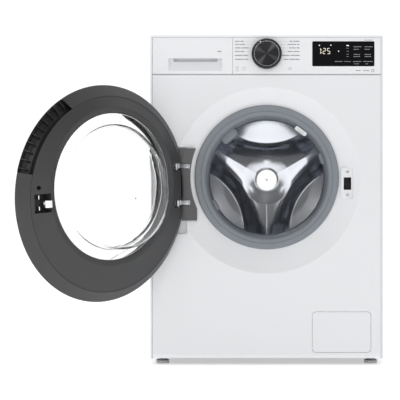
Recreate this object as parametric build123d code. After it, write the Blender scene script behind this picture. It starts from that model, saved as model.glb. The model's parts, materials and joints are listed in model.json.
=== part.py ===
from build123d import *
from math import cos, radians, sin
import os

# A front load washing machine with its door open.
# Frame: +X to the right seen from the front, +Y towards the back, +Z up. The origin lies on the
# floor, in the middle of the rectangle of the four feet. Millimetres.
# "Depth" below means the distance behind the plane of the front panel.

os.makedirs("parts", exist_ok=True)

# Driving dimensions of the cabinet
WIDTH = 600.0
HEIGHT = 850.0
DEPTH = 535.0
SHEET = 1.2
SEAM = 0.5
BASE_Z = 17.0
LID_THICK = 5.5
FLANGE = 5.5
SEAM_Z = 750.0
SPLIT_X = -87.5

# Feet
FOOT_X = 272.0
FOOT_INSET = 50.0
FOOT_PAD_R = 17.0
FOOT_ROD_R = 5.0

# Drum opening, dish and gasket
DRUM_Z = 485.0
DISH_R = 240.0
DISH_Z = 476.0
DISH_DEPTH = 22.0
SEAT_R = 192.0
MOUTH_R = 178.0

# Drum and tub
DRUM_R = 245.0
DRUM_FRONT = 78.0
DRUM_BACK = 392.0
DRUM_END = 424.0
LIP_R = 150.0
TUB_R = 258.0
TUB_WALL = 4.0
TUB_FRONT = 70.0
TUB_JOINT = 250.0
TUB_BACK = 446.0
HUB_R = 34.0

# Door
RIM_R = 262.0
RIM_Z = 466.0
CREASE_R = 237.0
GLASS_R = 176.0
RING_R = 191.0
DOOR_FACE = -38.0
RIM_DEPTH = -27.0
CREASE_DEPTH = -5.0
RING_DEPTH = 10.0
GLASS_DEPTH = 6.0
SKIN = 3.0

# Door hinge: the pins stand on one axis that leans a little to the left and to the front
HINGE_X = -230.0
HINGE_DEPTH = -22.0
LEAN_LEFT = 2.5
LEAN_FRONT = 3.0
LUG_OFFSET = 47.0
LUG_HALF = 6.0
PIN_R = 3.0
DOOR_OPEN = 132.9

# Door latch
LATCH_X = 208.7
LATCH_Z = 468.4
SLOT_W = 19.4
SLOT_H = 32.4
LOCK_SCREW_OFFSET = 30.0

# Controls
KNOB_R = 38.8
KNOB_Z = 801.6
POINTER_ANGLE = 28.0
DISPLAY_X = 197.4
DISPLAY_Z = 802.5
DISPLAY_W = 160.4
DISPLAY_H = 64.6

# Service flap and drain filter
FLAP_X = 192.9
FLAP_Z = 85.6
FLAP_W = 150.4
FLAP_H = 104.2
FLAP_PIN_R = 1.5
FLAP_PIN_Z = 43.5
FLAP_PIN_DEPTH = 3.0

# Derived places
FRONT_Y = -DEPTH / 2
HALF = WIDTH / 2
PANEL_HALF = HALF - FLANGE - SEAM
ROW_TOP = HEIGHT - LID_THICK - SEAM
FOOT_DEPTHS = (FOOT_INSET, DEPTH - FOOT_INSET)
HINGE_DIRECTION = Vector(
    -sin(radians(LEAN_LEFT)),
    -sin(radians(LEAN_FRONT)),
    cos(radians(LEAN_LEFT)) * cos(radians(LEAN_FRONT)),
)
HINGE_POINT = Vector(HINGE_X, FRONT_Y + HINGE_DEPTH, RIM_Z)
HINGE_AXIS = Axis(HINGE_POINT, HINGE_DIRECTION)
HINGE_PLANE = Plane(origin=HINGE_POINT, x_dir=(1, 0, 0), z_dir=HINGE_DIRECTION)


# Building blocks
def box(x0, x1, d0, d1, z0, z1):
    """A block between two x, two depths and two heights."""
    centre = Pos((x0 + x1) / 2, FRONT_Y + (d0 + d1) / 2, (z0 + z1) / 2)
    return centre * Box(x1 - x0, d1 - d0, z1 - z0)


def face_plane(x, depth, z):
    """A plane parallel to the front panel whose normal points to the back."""
    return Plane(origin=(x, FRONT_Y + depth, z), x_dir=(1, 0, 0), z_dir=(0, 1, 0))


def rod_back(x, z, radius, d0, d1):
    """A cylinder that runs from front to back."""
    return extrude(face_plane(x, d0, z) * Circle(radius), amount=d1 - d0)


def rod_up(x, depth, radius, z0, z1):
    """An upright cylinder."""
    return Pos(x, FRONT_Y + depth, (z0 + z1) / 2) * Cylinder(radius, z1 - z0)


def rod_between(start, end, radius):
    """A cylinder between two points given as (x, depth, z)."""
    a = Vector(start[0], FRONT_Y + start[1], start[2])
    b = Vector(end[0], FRONT_Y + end[1], end[2])
    return extrude(Plane(origin=a, z_dir=b - a) * Circle(radius), amount=(b - a).length)


def turned(points, z=DRUM_Z, x=0.0):
    """A body turned about a front-to-back axis from its (radius, depth) outline."""
    outline = make_face(Polyline([(r, FRONT_Y + d) for r, d in points], close=True))
    return Pos(x, 0, z) * revolve(outline, Axis.Y, 360)


def cone(circles):
    """A solid skinned over circles given as (radius, z, depth)."""
    rings = [face_plane(0, d, z) * Circle(r) for r, z, d in circles]
    return loft(rings, ruled=True)


def rounded_plate(x, z, width, height, radius, d0, d1):
    """A plate with rounded corners that faces the front."""
    return extrude(face_plane(x, d0, z) * RectangleRounded(width, height, radius), amount=d1 - d0)


def clock(shape, angle, z=DRUM_Z):
    """Turns a shape clockwise, seen from the front, about the axis at height z."""
    return shape.rotate(Axis((0, 0, z), (0, 1, 0)), angle)


def opened(shape):
    """Takes a door piece from its closed place to the open one."""
    return shape.rotate(HINGE_AXIS, -DOOR_OPEN)


def save(name, *solids):
    """Writes one node from one solid or a group of them."""
    shape = solids[0] if len(solids) == 1 else Compound(children=list(solids))
    export_step(shape, f"parts/{name}.step")


def screw(x, z, head_r, head_h, shank_r, depth, length):
    """A pan head screw whose head stands in front of the given depth."""
    head = rod_back(x, z, head_r, depth - head_h, depth)
    head = fillet(head.edges().group_by(Axis.Y)[0], head_h * 0.4)
    head -= box(x - head_r * 0.7, x + head_r * 0.7, depth - head_h, depth - head_h * 0.6, z - 0.5, z + 0.5)
    head -= box(x - 0.5, x + 0.5, depth - head_h, depth - head_h * 0.6, z - head_r * 0.7, z + head_r * 0.7)
    return head + rod_back(x, z, shank_r, depth, depth + length)


# Cabinet
REAR_SHEET = DEPTH - SHEET
COVER_W = 400.0
COVER_H = 440.0
COVER_BULGE_R = 175.0
COVER_SCREW_R = 2.0
SPIGOT_R = 13.2
INLET_X = -230.0
INLET_Z = 800.0
OUTLET_X = 235.0
OUTLET_Z = 795.0
GLAND_X = 235.0
GLAND_Z = 720.0
PRESSED = 2.5
FIELD_W = 400.0
FIELD_H = 660.0
CAP_PLACES = [(sx * 248.0, z) for sx in (-1, 1) for z in (300.0, 655.0)]


def cover_screw_places():
    across = COVER_W / 2 - 12
    up = COVER_H / 2 - 12
    corners = [(sx * across, DRUM_Z + sz * up) for sx in (-1, 1) for sz in (-1, 1)]
    middles = [(sx * across, DRUM_Z) for sx in (-1, 1)] + [(0.0, DRUM_Z + sz * up) for sz in (-1, 1)]
    return corners + middles


def side_panel(sign):
    """A sheet steel side with a narrow front flange, a rear flange and a pressed field."""
    half_sheet = SHEET / 2
    path = FilletPolyline(
        (HALF - FLANGE + half_sheet, FRONT_Y + 12),
        (HALF - FLANGE + half_sheet, FRONT_Y + half_sheet),
        (HALF - half_sheet, FRONT_Y + half_sheet),
        (HALF - half_sheet, FRONT_Y + DEPTH - half_sheet),
        (HALF - 26, FRONT_Y + DEPTH - half_sheet),
        radius=1.6,
    )
    panel = extrude(Pos(0, 0, BASE_Z) * trace(path, line_width=SHEET), amount=ROW_TOP + SEAM - BASE_Z)
    field = Plane(origin=(HALF, 0, (BASE_Z + ROW_TOP) / 2), x_dir=(0, 1, 0), z_dir=(1, 0, 0))
    outline = RectangleRounded(FIELD_W, FIELD_H, 40)
    back_outline = RectangleRounded(FIELD_W + 1, FIELD_H + 1, 40.5)
    pressing = extrude(field.offset(1) * outline, amount=-1 - PRESSED, taper=30)
    backing = extrude(field.offset(-half_sheet) * back_outline, amount=-half_sheet - PRESSED, taper=30)
    panel = panel + backing - pressing
    return panel if sign > 0 else mirror(panel, Plane.YZ)


def rear_panel():
    """The steel back with its service opening and the holes for hose and cable fittings."""
    inner = HALF - SHEET - 1.8
    panel = box(-inner, inner, REAR_SHEET - SHEET, REAR_SHEET, BASE_Z + 1, ROW_TOP)
    panel -= rounded_plate(0, DRUM_Z, COVER_W - 50, COVER_H - 50, 40, 500, DEPTH)
    for x, z in cover_screw_places():
        panel -= rod_back(x, z, COVER_SCREW_R, 500, DEPTH)
    for x, z, radius in (
        (INLET_X, INLET_Z, SPIGOT_R + 0.6),
        (OUTLET_X, OUTLET_Z, 11.5),
        (GLAND_X, GLAND_Z, 9.0),
    ):
        panel -= rod_back(x, z, radius, 500, DEPTH)
    for x, z in CAP_PLACES:
        panel -= rod_back(x, z, 12.0, 500, DEPTH)
    return panel


def rear_cover():
    """The bolted service cover, with a round bulge over the motor."""
    cover = rounded_plate(0, DRUM_Z, COVER_W, COVER_H, 30, REAR_SHEET, DEPTH)
    bulge = cone([(COVER_BULGE_R, DRUM_Z, DEPTH - SHEET), (COVER_BULGE_R - 8, DRUM_Z, DEPTH + 7)])
    hollow = cone([(COVER_BULGE_R - 1, DRUM_Z, DEPTH - SHEET), (COVER_BULGE_R - 9, DRUM_Z, DEPTH + 7 - SHEET)])
    cover = cover + bulge - hollow
    for x, z in cover_screw_places():
        cover -= rod_back(x, z, COVER_SCREW_R, 500, DEPTH + 1)
    return cover


def base_pan():
    """The bottom tray with a threaded boss over each foot."""
    inner = HALF - SHEET - 0.3
    pan = box(-inner, inner, 15, DEPTH - 4, BASE_Z, BASE_Z + 50)
    pan -= box(-inner + 3, inner - 3, 18, DEPTH - 7, BASE_Z + 4, BASE_Z + 60)
    for x in (-FOOT_X, FOOT_X):
        for depth in FOOT_DEPTHS:
            pan += rod_up(x, depth, 15, BASE_Z, BASE_Z + 50)
            pan -= rod_up(x, depth, FOOT_ROD_R + 0.3, BASE_Z - 1, BASE_Z + 60)
    for x in (-120, 0, 120):
        pan += box(x - 1.5, x + 1.5, 17, DEPTH - 6, BASE_Z + 3, BASE_Z + 16)
    return pan - box(FILTER_X - 44, FILTER_X + 44, 10, 20, BASE_Z + 22, BASE_Z + 60)


def cross_bar(depth):
    """A folded steel bar under the top board that ties the two sides together."""
    inner = HALF - SHEET - 0.3
    bar = box(-inner, inner, depth, depth + 40, 834.5, 837.8)
    return bar - box(-inner + 2, inner - 2, depth + 2, depth + 38, 834, 836.6)


def worktop():
    """The flush lid on its board."""
    lid = box(-HALF, HALF, 0, DEPTH, HEIGHT - LID_THICK, HEIGHT)
    lid = fillet(lid.edges().filter_by(Axis.Z), 3.0)
    lid = fillet(lid.edges().group_by(Axis.Z)[-1], 2.4)
    board = box(-HALF + 10, HALF - 10, 26, DEPTH - 12, 838.2, HEIGHT - LID_THICK)
    return lid + board


HINGE_POCKET = (-266.0, -205.0, 338.0, 562.0)
POCKET_DEPTH = 10.0
PAD_W = 32.0
PAD_H = 82.0
PAD_DEPTH = 12.0


def dish_space():
    """The space of the round dish in the front, ahead of its sheet."""
    return cone([(DISH_R + 1.1, DISH_Z, -0.5), (SEAT_R, DRUM_Z, DISH_DEPTH)])


def hinge_pocket(front, gap=0):
    """The space of the shallow pocket behind the hinge, with rounded corners."""
    x0, x1, z0, z1 = HINGE_POCKET
    space = box(x0 + gap, x1 - gap, front, POCKET_DEPTH - gap, z0 + gap, z1 - gap)
    return fillet(space.edges().filter_by(Axis.Y), 6.0)


def flap_pin(x0, x1, radius):
    """A pin from left to right on the hinge axis of the service flap."""
    return rod_between((x0, FLAP_PIN_DEPTH, FLAP_PIN_Z), (x1, FLAP_PIN_DEPTH, FLAP_PIN_Z), radius)


def front_panel():
    """The pressed front with its round dish, drum opening, latch pad and hinge pocket."""
    half_sheet = SHEET / 2
    section = FilletPolyline(
        (FRONT_Y + 14, SEAM_Z - half_sheet),
        (FRONT_Y + half_sheet, SEAM_Z - half_sheet),
        (FRONT_Y + half_sheet, BASE_Z + half_sheet),
        (FRONT_Y + 14, BASE_Z + half_sheet),
        radius=[6.0, 12.0],
    )
    profile = Plane(origin=(-PANEL_HALF, 0, 0), x_dir=(0, 1, 0), z_dir=(1, 0, 0))
    panel = extrude(profile * trace(section, line_width=SHEET), amount=2 * PANEL_HALF)
    for sign in (-1, 1):
        x0, x1 = sorted((sign * PANEL_HALF, sign * (PANEL_HALF - SHEET)))
        panel += box(x0, x1, 0.6, 13, BASE_Z + 12, SEAM_Z - 7)

    x0, x1, z0, z1 = HINGE_POCKET
    front_of_dish = dish_space()
    back_of_dish = cone([(DISH_R + 3, DISH_Z, 0.3), (SEAT_R + 1.2, DRUM_Z, DISH_DEPTH + SHEET)])
    panel += back_of_dish
    panel += box(x0 - SHEET, x1, 0.3, POCKET_DEPTH + SHEET, z0 - SHEET, z1 + SHEET)
    panel -= front_of_dish
    panel -= hinge_pocket(-1)

    floor = (PAD_DEPTH, PAD_DEPTH + SHEET)
    sleeve = rounded_plate(LATCH_X, LATCH_Z, PAD_W, PAD_H, 6, 0.3, 30)
    sleeve -= rounded_plate(LATCH_X, LATCH_Z, PAD_W - 2 * SHEET, PAD_H - 2 * SHEET, 5, 0, 31)
    plate = rounded_plate(LATCH_X, LATCH_Z, PAD_W, PAD_H, 6, *floor)
    panel -= rounded_plate(LATCH_X, LATCH_Z, PAD_W, PAD_H, 6, -1, 31)
    sleeve_behind = sleeve & back_of_dish
    sleeve_ahead = (sleeve & box(0, HALF, 0, floor[1], 0, HEIGHT)) - front_of_dish
    panel += sleeve_behind - box(0, HALF, -1, floor[0], 0, HEIGHT)
    panel += sleeve_ahead + plate

    panel -= rod_back(0, DRUM_Z, MOUTH_R, -1, 40)
    panel += turned([(MOUTH_R, 22), (MOUTH_R + SHEET, 22), (MOUTH_R + SHEET, 34), (MOUTH_R, 34)])
    half_w, half_h = SLOT_W / 2, SLOT_H / 2
    panel -= box(LATCH_X - half_w, LATCH_X + half_w, 0, 30, LATCH_Z - half_h, LATCH_Z + half_h)
    for side in (-1, 1):
        panel -= rod_back(LATCH_X, LATCH_Z + side * LOCK_SCREW_OFFSET, COVER_SCREW_R, 0, 30)
    for z in LUG_ZS:
        panel -= rod_back(HINGE_SCREW_X, z, 2.0, 0, 30)
    panel -= rounded_plate(FLAP_X, FLAP_Z, FLAP_W + 1.4, FLAP_H + 1.4, 10, -1, 10)
    for side in (-1, 1):
        x0, x1 = sorted(FLAP_X + side * (FLAP_W / 2 + out) for out in (2.2, 3.8))
        ear = box(x0, x1, 0.6, FLAP_PIN_DEPTH + 5, FLAP_PIN_Z - 5, FLAP_PIN_Z + 5)
        panel += ear - flap_pin(x0 - 1, x1 + 1, FLAP_PIN_R + 0.06)
    return panel


# Control row
def control_panel():
    """The moulded fascia to the right of the drawer."""
    x0 = SPLIT_X + SEAM / 2
    shell = box(x0, PANEL_HALF, 0, 15, SEAM_Z + SEAM, ROW_TOP)
    shell = fillet(shell.edges().group_by(Axis.Y)[0], 0.8)
    shell -= box(x0 + 2.5, PANEL_HALF - 2.5, 2.5, 16, SEAM_Z + 3, ROW_TOP - 2.5)
    shell += rounded_plate(DISPLAY_X, DISPLAY_Z, DISPLAY_W + 5, DISPLAY_H + 5, 5, 2.4, 5)
    shell -= rounded_plate(DISPLAY_X, DISPLAY_Z, DISPLAY_W, DISPLAY_H, 3, -1, 3)
    return shell - rod_back(0, KNOB_Z, 3.4, -1, 6)


def control_board():
    """The circuit board with its relay, display module and knob encoder."""
    board = box(-60, 285, 20, 21.6, SEAM_Z + 8, 828)
    board += box(DISPLAY_X - 70, DISPLAY_X + 70, 9, 20, DISPLAY_Z - 26, DISPLAY_Z + 22)
    board += box(60, 96, 21.6, 44, 770, 815)
    board += box(-40, -12, 21.6, 40, 765, 800)
    board += box(120, 220, 21.6, 34, 768, 790)
    return board + rod_back(0, KNOB_Z, 10, 14, 20)


def display_window():
    """The black window over the display."""
    window = rounded_plate(DISPLAY_X, DISPLAY_Z, DISPLAY_W - 0.3, DISPLAY_H - 0.3, 2.9, 0.1, 3)
    return fillet(window.edges().group_by(Axis.Y)[0], 0.5)


def knob():
    """The programme knob, hollow behind, on its shaft, with a pointer notch."""
    body = turned(
        [(0, -15), (31.4, -15), (32, -16.4), (36.6, -16.4), (KNOB_R, -14.4), (KNOB_R, -1),
         (KNOB_R - 2.5, -1), (KNOB_R - 2.5, -11), (7, -11), (7, -1), (0, -1)],
        z=KNOB_Z,
    )
    body += rod_back(0, KNOB_Z, 3.0, -1.5, 13.5)
    notch = box(-1, 1, -17, -15.6, KNOB_Z + 33, KNOB_Z + 37)
    return body - clock(notch, -POINTER_ANGLE, KNOB_Z)


# Detergent drawer
DRAWER_LEFT = -PANEL_HALF
DRAWER_RIGHT = SPLIT_X - SEAM / 2
GRIP_X0 = -252.6
GRIP_X1 = -114.8
GRIP_Z0 = 758.8
GRIP_Z1 = 790.8
SLOT_Z0 = 783.4
TRAY_X0 = -284.0
TRAY_X1 = -98.0
TRAY_Z0 = 757.5
TRAY_Z1 = 824.0
TRAY_END = 320.0


def slanted_cut(x0, x1, outline):
    """A prism across the machine from a (depth, z) outline."""
    side = Plane(origin=(x0, 0, 0), x_dir=(0, 1, 0), z_dir=(1, 0, 0))
    shape = make_face(Polyline([(FRONT_Y + d, z) for d, z in outline], close=True))
    return extrude(side * shape, amount=x1 - x0)


def drawer_front():
    """The drawer's front, with a slanted grip and a finger slot behind its top lip."""
    front = box(DRAWER_LEFT, DRAWER_RIGHT, 0, 24, SEAM_Z + SEAM, ROW_TOP)
    front = fillet(front.edges().group_by(Axis.Y)[0], 0.8)
    front -= box(DRAWER_LEFT + 2.5, DRAWER_RIGHT - 2.5, 2.5, 25, SEAM_Z + 3, ROW_TOP - 2.5)
    shield = [(2, GRIP_Z0 - 5), (2, GRIP_Z1 + 13), (23.5, GRIP_Z1 + 13), (23.5, SLOT_Z0 - 3), (6, GRIP_Z0 - 5)]
    front += slanted_cut(GRIP_X0 - 2.5, GRIP_X1 + 2.5, shield)
    scoop = [(-1, GRIP_Z0), (0.2, GRIP_Z0), (12, SLOT_Z0), (12, GRIP_Z1), (-1, GRIP_Z1)]
    cut = slanted_cut(GRIP_X0, GRIP_X1, scoop)
    front -= fillet(cut.edges().filter_by(Axis.Y), 3.0)
    slot = [(3, GRIP_Z1 - 1), (11, GRIP_Z1 - 1), (11, SLOT_Z0), (21.5, SLOT_Z0), (21.5, GRIP_Z1 + 10),
            (5, GRIP_Z1 + 10)]
    return front - slanted_cut(GRIP_X0 + 12.5, GRIP_X1 - 12.5, slot)


def drawer_tray():
    """The three chambers of the drawer."""
    tray = box(TRAY_X0, TRAY_X1, 24.2, TRAY_END, TRAY_Z0, TRAY_Z1)
    inner = (TRAY_X0 + 2, TRAY_X1 - 2)
    split = -180.0
    tray -= box(inner[0], split - 1, 27, 200, TRAY_Z0 + 2, TRAY_Z1 + 1)
    tray -= box(inner[0], split - 1, 202, TRAY_END - 2, TRAY_Z0 + 2, TRAY_Z1 + 1)
    tray -= box(split + 1, inner[1], 27, TRAY_END - 2, TRAY_Z0 + 2, TRAY_Z1 + 1)
    return tray


def dispenser_housing():
    """The fixed box that the drawer slides in."""
    x0, x1, z0, z1 = TRAY_X0 - 4, TRAY_X1 + 4, TRAY_Z0 - 4, 833.5
    housing = box(x0, x1, 28, TRAY_END + 24, z0, z1)
    return housing - box(x0 + 2.5, x1 - 2.5, 20, TRAY_END + 20, z0 + 2.5, z1 - 2.5)


def dispenser_hose():
    """The bellows hose from the dispenser down to the tub."""
    ridges = 7
    pitch = 8.0
    x, depth, z0, z1 = -190.0, 200.0, 690.0, 753.3
    hose = rod_up(x, depth, 17, z0, z1)
    for i in range(ridges):
        hose += rod_up(x, depth, 20, z0 + 6 + i * pitch, z0 + 9 + i * pitch)
    hose -= rod_up(x, depth, 14.5, z0 - 1, z1 + 1)
    return hose - rod_back(0, DRUM_Z, TUB_R + TUB_WALL + 0.05, 100, 300)


def inlet_valve():
    """The water inlet: a threaded spigot for a 3/4 inch hose on a solenoid body."""
    body = box(INLET_X - 20, INLET_X + 20, 470, REAR_SHEET - SHEET, INLET_Z - 26, INLET_Z + 26)
    body += rod_back(INLET_X, INLET_Z, SPIGOT_R, 530, DEPTH + 16)
    body += rod_back(INLET_X, INLET_Z, SPIGOT_R + 3.5, DEPTH - SHEET, DEPTH + 2)
    body -= rod_back(INLET_X, INLET_Z, 9, DEPTH - 10, DEPTH + 17)
    return body + rod_back(INLET_X, INLET_Z - 14, 9, 440, 470)


def drain_outlet():
    """The spigot for a drain hose, through the back."""
    outlet = rod_back(OUTLET_X, OUTLET_Z, 10.5, 480, DEPTH + 8)
    outlet += rod_back(OUTLET_X, OUTLET_Z, 16, DEPTH - SHEET, DEPTH + 2)
    outlet += rod_back(OUTLET_X, OUTLET_Z, 13, DEPTH + 2, DEPTH + 8)
    outlet += rod_back(OUTLET_X, OUTLET_Z, 11, DEPTH + 8, DEPTH + 28)
    return outlet - rod_back(OUTLET_X, OUTLET_Z, 8.5, 470, DEPTH + 30)


def power_gland():
    """The gland that a mains lead comes out of."""
    gland = rod_back(GLAND_X, GLAND_Z, 8.8, 515, DEPTH + 6)
    gland += rod_back(GLAND_X, GLAND_Z, 13, DEPTH - SHEET, DEPTH + 2)
    gland += cone_piece(GLAND_X, GLAND_Z, 8.8, 6.5, DEPTH + 6, DEPTH + 16)
    return gland - rod_back(GLAND_X, GLAND_Z, 3.8, 510, DEPTH + 20)


def cone_piece(x, z, r0, r1, d0, d1):
    """A tapered rod that runs from front to back."""
    return loft([face_plane(x, d0, z) * Circle(r0), face_plane(x, d1, z) * Circle(r1)], ruled=True)


def transit_cap(x, z):
    """A plug in a hole that a transit bolt left."""
    cap = rod_back(x, z, 18, REAR_SHEET, REAR_SHEET + 3.5)
    cap = fillet(cap.edges().group_by(Axis.Y)[-1], 1.5)
    return cap + rod_back(x, z, 11.6, 515, REAR_SHEET)


# Latch
HOOK_ROOM = 1.8


def door_lock():
    """The lock behind the latch slot, with the pocket in which the hook can give way."""
    back = 41
    half_w = PAD_W / 2 - SHEET - 0.3
    half_h = PAD_H / 2 - SHEET - 0.3
    body = rounded_plate(LATCH_X, LATCH_Z, 2 * half_w, 2 * half_h, 5, PAD_DEPTH + SHEET, back)
    pocket = (LATCH_X - SLOT_W / 2 - HOOK_ROOM, LATCH_X + SLOT_W / 2 - 0.3)
    body -= box(*pocket, 0, back - 2, LATCH_Z - 15.2, LATCH_Z + 15.2)
    for side in (-1, 1):
        body -= rod_back(LATCH_X, LATCH_Z + side * LOCK_SCREW_OFFSET, COVER_SCREW_R, 0, 24)
    return body


def case_screws():
    """The screws of the rear cover and of the lock."""
    screws = []
    for x, z in cover_screw_places():
        forward = screw(-x, z, 4.0, 2.4, COVER_SCREW_R, -DEPTH, 9)
        screws.append(forward.rotate(Axis((0, FRONT_Y, 0), (0, 0, 1)), 180))
    for side in (-1, 1):
        screws.append(screw(LATCH_X, LATCH_Z + side * LOCK_SCREW_OFFSET, 4.0, 2.4, COVER_SCREW_R, 12, 11))
    return screws


HOOK_X = 205.5
HOOK_PIVOT_DEPTH = -14.0
HOOK_HALF = 8.0


def door_hook():
    """The steel hook with its cross pin."""
    outline = [(-4, -5), (3.5, -5), (3.5, 33), (8.5, 33), (8.5, 36), (2, 45), (-4, 45)]
    face = make_face(Polyline([(HOOK_X + x, FRONT_Y + HOOK_PIVOT_DEPTH + d) for x, d in outline], close=True))
    hook = extrude(Pos(0, 0, LATCH_Z - HOOK_HALF) * face, amount=2 * HOOK_HALF)
    hook -= box(HOOK_X - 6, HOOK_X + 5, 8, 17, LATCH_Z - 4, LATCH_Z + 4)
    return hook + rod_up(HOOK_X, HOOK_PIVOT_DEPTH, 2.4, LATCH_Z - 17, LATCH_Z + 17)


# Hinge
BRACKET_Z0 = 373.0
BRACKET_Z1 = 559.0
LUG_ZS = (RIM_Z - LUG_OFFSET, RIM_Z + LUG_OFFSET)
FLANGE_X0 = -219.0
FLANGE_X1 = -197.5
FLANGE_DEPTHS = (4.6, 7.6)
HINGE_SCREW_X = -207.0


def axis_point(z):
    """Where the hinge axis is at a height, as (x, depth)."""
    up = (z - RIM_Z) / HINGE_DIRECTION.Z
    return HINGE_X + up * HINGE_DIRECTION.X, HINGE_DEPTH + up * HINGE_DIRECTION.Y


def on_hinge(x, y, radius, z0, z1):
    """A cylinder beside the hinge axis, in the leaning frame of the hinge."""
    return HINGE_PLANE * (Pos(x, y, (z0 + z1) / 2) * Cylinder(radius, z1 - z0))


def hinge_bracket():
    """The moulded bracket that follows the gasket and fills the dish under the door."""
    outline = [(-228, BRACKET_Z1), (-180, BRACKET_Z1), (-180, BRACKET_Z0), (-219, BRACKET_Z0)]
    shape = make_face(Polyline([(x, z) for x, z in outline], close=True))
    front = Plane(origin=(0, FRONT_Y + 30, 0), x_dir=(1, 0, 0), z_dir=(0, -1, 0))
    block = extrude(front * shape, amount=30)
    room = Pos(0, -0.1, 0) * dish_space() + hinge_pocket(0, 0.1)
    bracket = (room & block) - rod_back(0, DRUM_Z, SEAT_R + 5.5, -5, 40)
    under_door = cone([(CREASE_R + 2, RIM_Z, CREASE_DEPTH), (RING_R + 3, DRUM_Z, RING_DEPTH)])
    bracket -= under_door
    for z in LUG_ZS:
        bracket -= box(FLANGE_X0 - 6, FLANGE_X1, -6, FLANGE_DEPTHS[1], z - LUG_HALF - 1, z + LUG_HALF + 1)
        bracket -= rod_back(HINGE_SCREW_X, z, 2.0, 0, 22)
    return bracket


def hinge_lug(z, side):
    """A steel gooseneck: a flange on the bracket and an eye round the hinge pin."""
    x, depth = axis_point(z)
    eye = on_hinge(0, 0, 6.4, side * LUG_OFFSET - LUG_HALF, side * LUG_OFFSET + LUG_HALF)
    neck = [(x, depth - 3.2), (x + 9, depth), (-212.5, FLANGE_DEPTHS[0] - 7), (-212.5, FLANGE_DEPTHS[0]),
            (FLANGE_X1 - 0.2, FLANGE_DEPTHS[0]), (FLANGE_X1 - 0.2, FLANGE_DEPTHS[1]),
            (FLANGE_X0, FLANGE_DEPTHS[1]), (FLANGE_X0, FLANGE_DEPTHS[0] - 6), (x + 5, depth + 6), (x, depth + 4)]
    arm = make_face(Polyline([(px, FRONT_Y + d) for px, d in neck], close=True))
    lug = extrude(Pos(0, 0, z - LUG_HALF + 0.4) * arm, amount=2 * LUG_HALF - 0.8) + eye
    lug -= on_hinge(0, 0, PIN_R + 0.05, side * LUG_OFFSET - 20, side * LUG_OFFSET + 20)
    return lug - rod_back(HINGE_SCREW_X, z, 2.0, 0, 20)


def hinge_screws():
    """The two bright screws that hold the goosenecks to the cabinet."""
    return [screw(HINGE_SCREW_X, z, 4.2, 2.6, 2.0, FLANGE_DEPTHS[0], 15) for z in LUG_ZS]


LEAF_BARREL_R = 6.4
LEAF_FACE = (-34.6, -32.2)


def door_hinge_leaf():
    """The steel leaf inside the door, with a barrel between and beyond the goosenecks."""
    low, high = RIM_Z - 66, RIM_Z + 66
    leaf = box(HINGE_X - 5, HINGE_X + 44, LEAF_FACE[0], LEAF_FACE[1], low, high)
    gap = LUG_OFFSET - LUG_HALF - 0.5
    outer = LUG_OFFSET + LUG_HALF + 0.5
    for z0, z1 in ((-gap, gap), (outer, outer + 10), (-outer - 10, -outer)):
        leaf += on_hinge(0, 0, LEAF_BARREL_R, z0, z1)
        x, depth = axis_point(RIM_Z + (z0 + z1) / 2)
        leaf += box(x - 4, x + 4, LEAF_FACE[0] + 1, depth, RIM_Z + z0 + 1, RIM_Z + z1 - 1)
    leaf -= on_hinge(0, 0, PIN_R + 0.02, -80, 80)
    return leaf


def hinge_pins():
    """The two hinge pins, one through each gooseneck."""
    reach = LUG_OFFSET + LUG_HALF + 9
    return [on_hinge(0, 0, PIN_R, z0, z0 + 26) for z0 in (reach - 26, -reach)]


# Door
def notch_tool(margin):
    """The space that the two goosenecks need inside the door."""
    tool = []
    for z in LUG_ZS:
        half = LUG_HALF + margin
        tool.append(box(HINGE_X - 40, -196, -31.5, 20, z - half, z + half))
    return tool


def hinge_side(offset, depth0, depth1):
    """A block to the left of a plane that lies beside the hinge axis and leans with it."""
    cutter = Pos(-offset - 50, 0, 0) * Box(100, 300, 400)
    return (HINGE_PLANE * cutter) & box(-400, 0, depth0, depth1, 0, HEIGHT)


def door_outer_frame():
    """The ring at the front of the door: face, rim and flank, cut straight beside the hinge."""
    outline = [(172, DOOR_FACE), (245, DOOR_FACE), (256, DOOR_FACE + 3.6), (RIM_R, RIM_DEPTH),
               (RIM_R - 1, RIM_DEPTH + 2), (CREASE_R, CREASE_DEPTH), (CREASE_R - 2, CREASE_DEPTH),
               (CREASE_R - 2, CREASE_DEPTH - 3), (RIM_R - 5, RIM_DEPTH), (253, DOOR_FACE + 6),
               (244, DOOR_FACE + SKIN), (172, DOOR_FACE + SKIN)]
    ring = turned(outline, z=RIM_Z)
    ring -= rod_back(0, DRUM_Z, GLASS_R - 2, -60, 0)
    ring -= hinge_side(13, -60, 10)
    for tool in notch_tool(2.5):
        ring -= tool
    wall = (hinge_side(11, RIM_DEPTH - 6, CREASE_DEPTH - 8) - hinge_side(13, -60, 10)) & turned(
        [(0, DOOR_FACE + 2), (250, DOOR_FACE + 2), (RIM_R - 3, RIM_DEPTH), (244, CREASE_DEPTH - 8),
         (0, CREASE_DEPTH - 8)], z=RIM_Z)
    for tool in notch_tool(2.5):
        wall -= tool
    return ring + wall - handle_sector(229, RIM_R + 2, DOOR_FACE + 4, 0)


HANDLE_START = 17.0
HANDLE_END = 64.0
RIB_COUNT = 10


def handle_sector(r0, r1, d0, d1, trim=0.0):
    """A ring sector over the angles of the handle, measured up from the latch side."""
    ring = turned([(r0, d0), (r1, d0), (r1, d1), (r0, d1)], z=RIM_Z)
    start = HANDLE_START + trim
    end = HANDLE_END - trim
    reach = 2 * RIM_R
    wedge = Polyline(
        [(0, 0), (reach * cos(radians(start)), reach * sin(radians(start))),
         (reach * cos(radians((start + end) / 2)), reach * sin(radians((start + end) / 2))),
         (reach * cos(radians(end)), reach * sin(radians(end)))], close=True)
    front = Plane(origin=(0, FRONT_Y + 60, RIM_Z), x_dir=(1, 0, 0), z_dir=(0, -1, 0))
    return ring & extrude(front * make_face(wedge), amount=140)


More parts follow.
